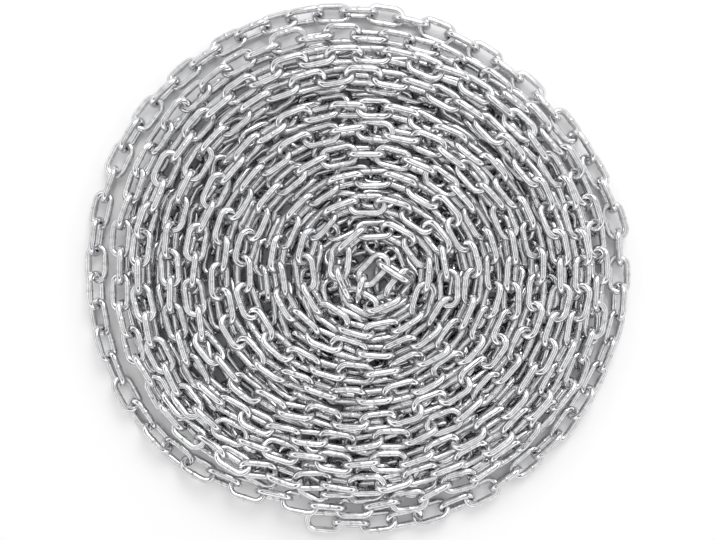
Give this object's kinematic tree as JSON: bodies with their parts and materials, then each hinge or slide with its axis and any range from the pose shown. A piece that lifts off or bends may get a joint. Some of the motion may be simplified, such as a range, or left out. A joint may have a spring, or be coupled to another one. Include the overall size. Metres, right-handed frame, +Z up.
{
  "type": "heap of steel chain",
  "caption": "Length of plain round-wire steel chain coiled flat into a low round heap, as loose stock.",
  "frame": {"origin": "on the floor, under the middle of the heap's outline", "axes": "+Z up, +X to the right of the picture, +Y to its top"},
  "size_m": [0.4148, 0.4046, 0.0382],
  "materials": {
    "chain_steel": "bright smooth steel wire, lightly polished by rubbing",
    "hidden_steel": "the same bright steel, in the shade of the turns above"
  },
  "bodies": {
    "root": {"chain_turn_01": "chain_steel", "chain_turn_02": "chain_steel", "chain_turn_03": "chain_steel", "chain_turn_04": "chain_steel", "chain_turn_05": "chain_steel", "chain_turn_06": "chain_steel", "chain_turn_07": "chain_steel", "chain_turn_08": "chain_steel", "chain_turn_09": "chain_steel", "chain_turn_10": "chain_steel", "chain_turn_11": "chain_steel", "hidden_chain_core": "hidden_steel"}
  },
  "joints": []
}
